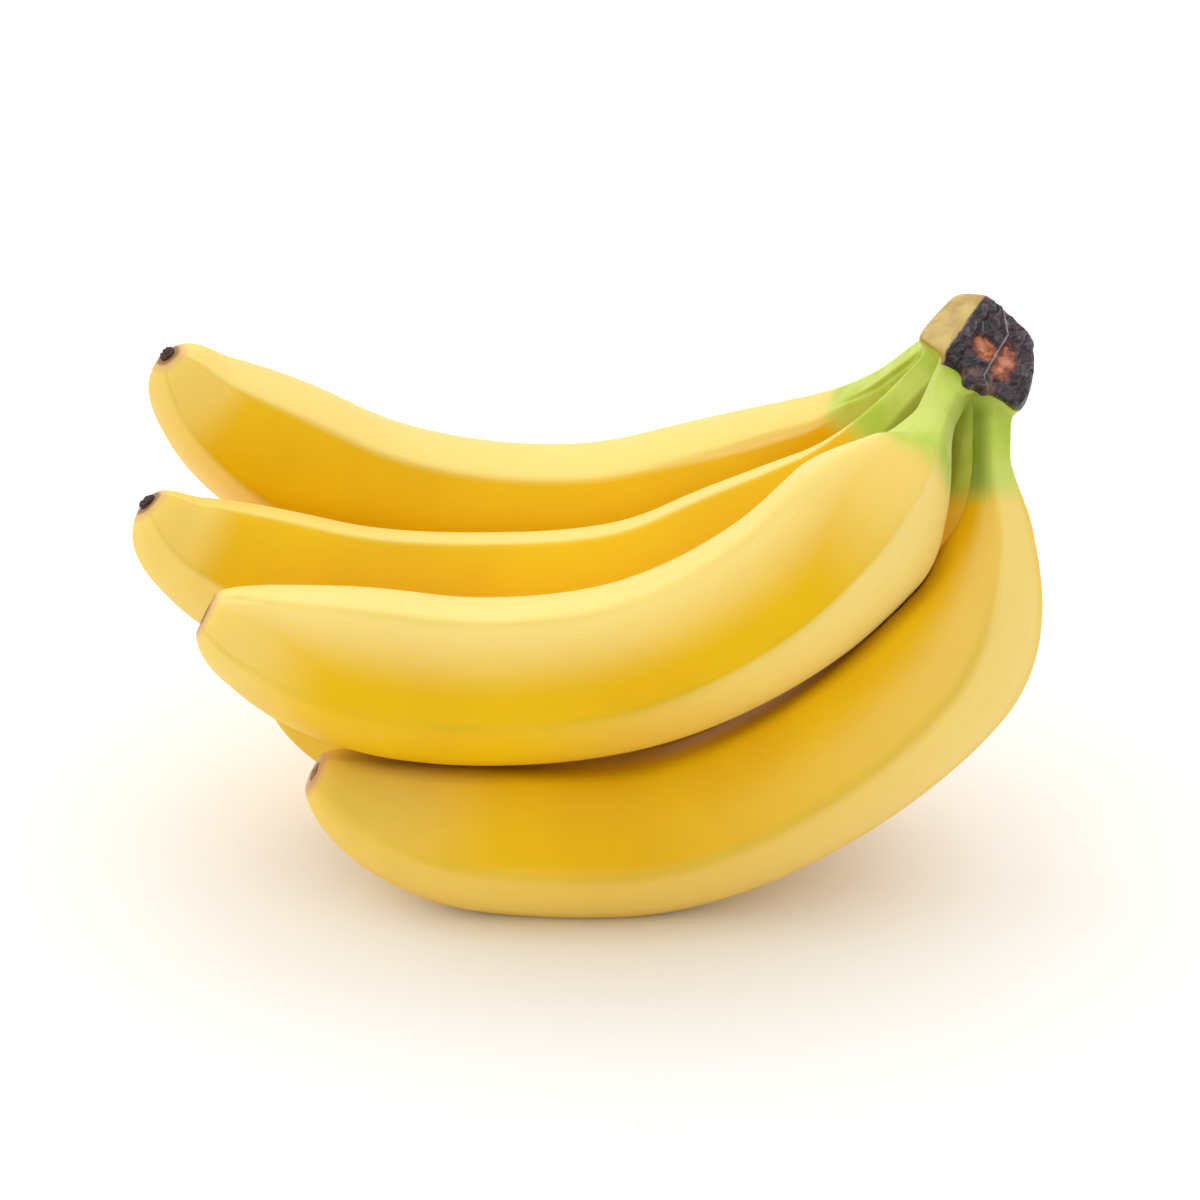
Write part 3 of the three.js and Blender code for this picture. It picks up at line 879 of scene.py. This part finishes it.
def studio():
    """A white surround, brightest above and behind, with some light from the left."""
    world = bpy.data.worlds.new("studio")
    world.use_nodes = True
    tree = world.node_tree

    def ramp(value, low, high, out_low, out_high):
        node = tree.nodes.new("ShaderNodeMapRange")
        node.interpolation_type = "SMOOTHSTEP"
        tree.links.new(value, node.inputs["Value"])
        limits = {"From Min": low, "From Max": high, "To Min": out_low, "To Max": out_high}
        for key, number in limits.items():
            node.inputs[key].default_value = number
        return node.outputs[0]

    def join(operation, a, b):
        node = tree.nodes.new("ShaderNodeMath")
        node.operation = operation
        tree.links.new(a, node.inputs[0])
        tree.links.new(b, node.inputs[1])
        return node.outputs[0]

    split = tree.nodes.new("ShaderNodeSeparateXYZ")
    tree.links.new(tree.nodes.new("ShaderNodeTexCoord").outputs["Generated"], split.inputs[0])
    x, y, z = split.outputs
    overhead = ramp(z, *OVERHEAD)
    behind = join("MULTIPLY", ramp(y, *BEHIND), ramp(z, *BEHIND_RISES))
    left = join("MULTIPLY", ramp(x, *LEFT), ramp(z, *LEFT_RISES))
    strength = join("ADD", join("ADD", overhead, behind), left)
    tree.links.new(strength, tree.nodes["Background"].inputs["Strength"])
    tree.nodes["Background"].inputs["Color"].default_value = (1, 1, 1, 1)
    bpy.context.scene.world = world


def camera():
    """The photo's camera, in front of the bunch and above it."""
    scene = bpy.context.scene
    scene.view_settings.view_transform = "Standard"
    lens = bpy.data.cameras.new("camera")
    lens.sensor_width = SENSOR_WIDTH
    lens.lens = SENSOR_WIDTH * FOCAL_PIXELS / PHOTO_PIXELS
    view = bpy.data.objects.new("camera", lens)
    back = Vector((0, -math.cos(ELEVATION), math.sin(ELEVATION)))
    view.location = CAMERA_TARGET + CAMERA_DISTANCE * back
    view.rotation_euler = (math.radians(90) - ELEVATION, 0, 0)
    scene.collection.objects.link(view)
    scene.camera = view


standing_end = dried_material("dried_end", colour(38, 24, 20), colour(84, 58, 42))
flush_end = dried_material("dried_end_flush", colour(104, 70, 42), colour(170, 124, 76))
crown_mesh(crown_material())
for finger in FINGERS:
    finger_mesh(finger, peel_material(finger))
    blossom_mesh(finger, standing_end if finger.values["nub"] > 0.5 else flush_end)
floor()
studio()
camera()
